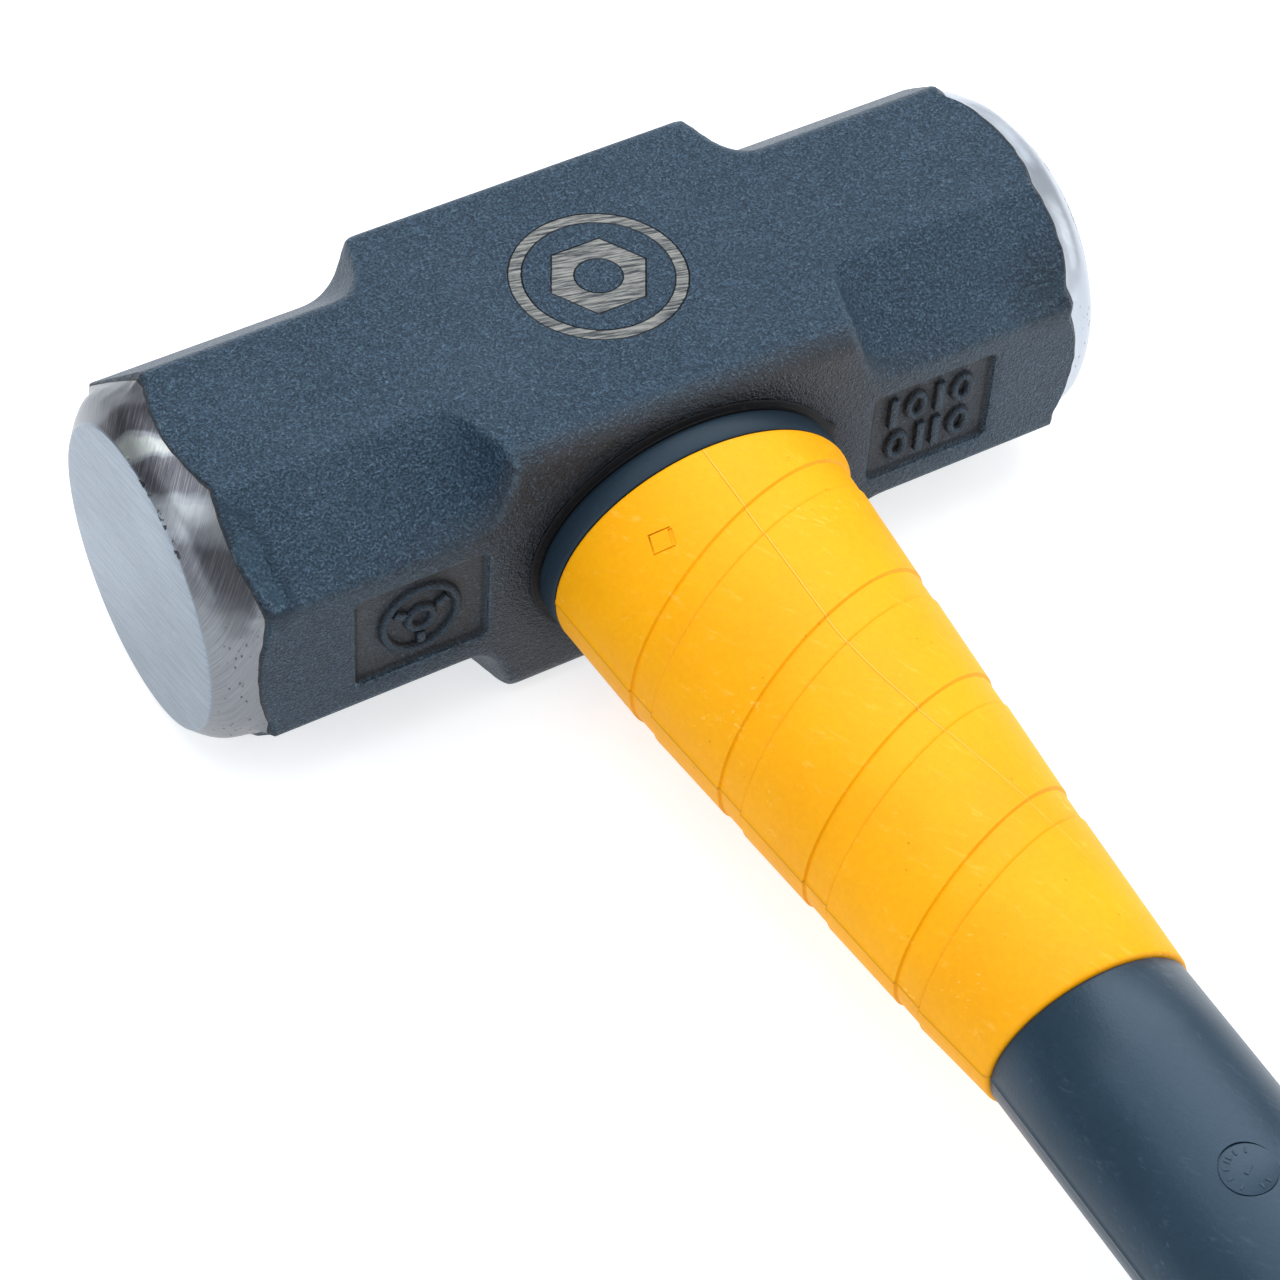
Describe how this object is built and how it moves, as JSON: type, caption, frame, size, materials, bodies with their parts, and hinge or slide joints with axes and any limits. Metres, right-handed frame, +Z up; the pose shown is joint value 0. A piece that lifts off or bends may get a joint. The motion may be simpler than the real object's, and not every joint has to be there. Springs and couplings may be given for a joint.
{
  "type": "sledgehammer",
  "caption": "Long-handled two-faced sledgehammer with an octagonal forged head, a tapered overstrike sleeve and a jacketed fibreglass handle.",
  "frame": {"origin": "on the lower cheek of the head, under the point where the handle's axis crosses the head's length", "axes": "+X along the head from face to face, +Y from the butt towards the crown, +Z up through the cheeks with the hammer lying on its side"},
  "size_m": [0.182, 0.9, 0.0606],
  "materials": {
    "head_enamel": "fine textured enamel, ground bright at the faces",
    "potting_resin": "cast, slightly glossy",
    "seal_rubber": "matt",
    "core_fibreglass": "drawn glass fibre in resin",
    "jacket_plastic": "satin moulded",
    "sleeve_rubber": "matt moulded",
    "grip_rubber": "matt ribbed",
    "plug_plastic": "satin moulded"
  },
  "bodies": {
    "root": {"forged_head": "head_enamel", "eye_potting": "potting_resin", "eye_seal_ring": "seal_rubber", "fibreglass_core": "core_fibreglass", "handle_jacket": "jacket_plastic", "overstrike_sleeve": "sleeve_rubber", "hand_grip": "grip_rubber", "butt_plug": "plug_plastic"}
  },
  "joints": []
}
